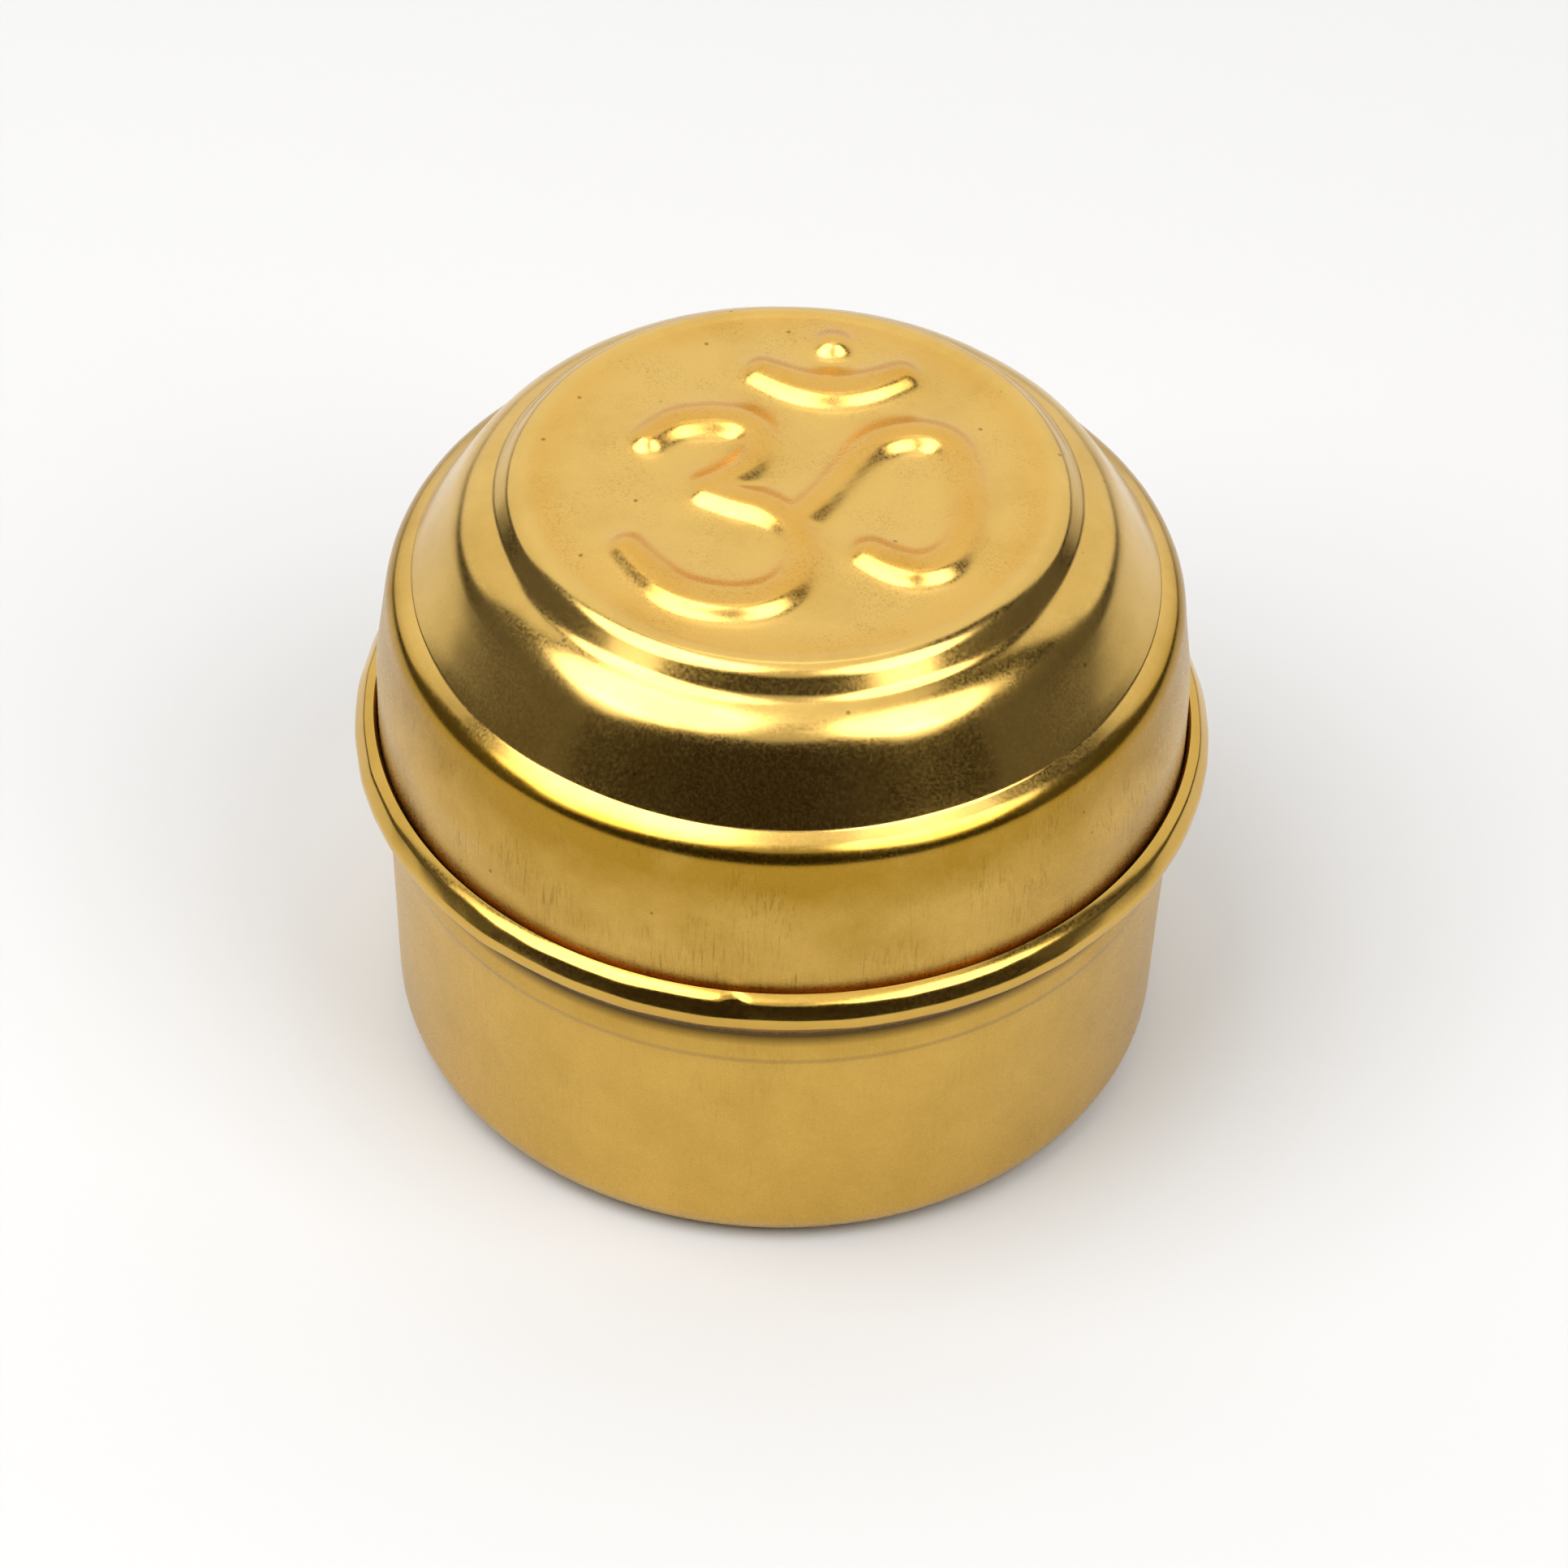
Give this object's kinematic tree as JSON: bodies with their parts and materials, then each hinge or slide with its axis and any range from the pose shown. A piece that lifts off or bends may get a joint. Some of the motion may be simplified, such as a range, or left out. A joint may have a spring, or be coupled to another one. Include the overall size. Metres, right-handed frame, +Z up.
{
  "type": "kumkum box",
  "caption": "Small round pressed-brass kumkum box: a cup with a flared and curled rim, a neck ring inside it and a stepped lift-off lid with a raised Om sign on its flat top panel.",
  "frame": {"origin": "centre of the flat bottom, on the surface that the box stands on", "axes": "+Z up along the axis of the round box, towards the lid; +Y is the top of the sign on the lid"},
  "size_m": [0.035, 0.035, 0.028],
  "materials": {
    "satin_brass": "satin, pressed sheet",
    "polished_brass": "polished, pressed sheet"
  },
  "bodies": {
    "base": {"body_cup": "satin_brass", "neck_collar": "satin_brass"},
    "lid": {"lid": "polished_brass"}
  },
  "joints": [
    {"name": "lid_lift", "type": "slide", "parent": "base", "child": "lid", "axis": [0, 0, 1], "range_m": [0, 0.03]}
  ]
}
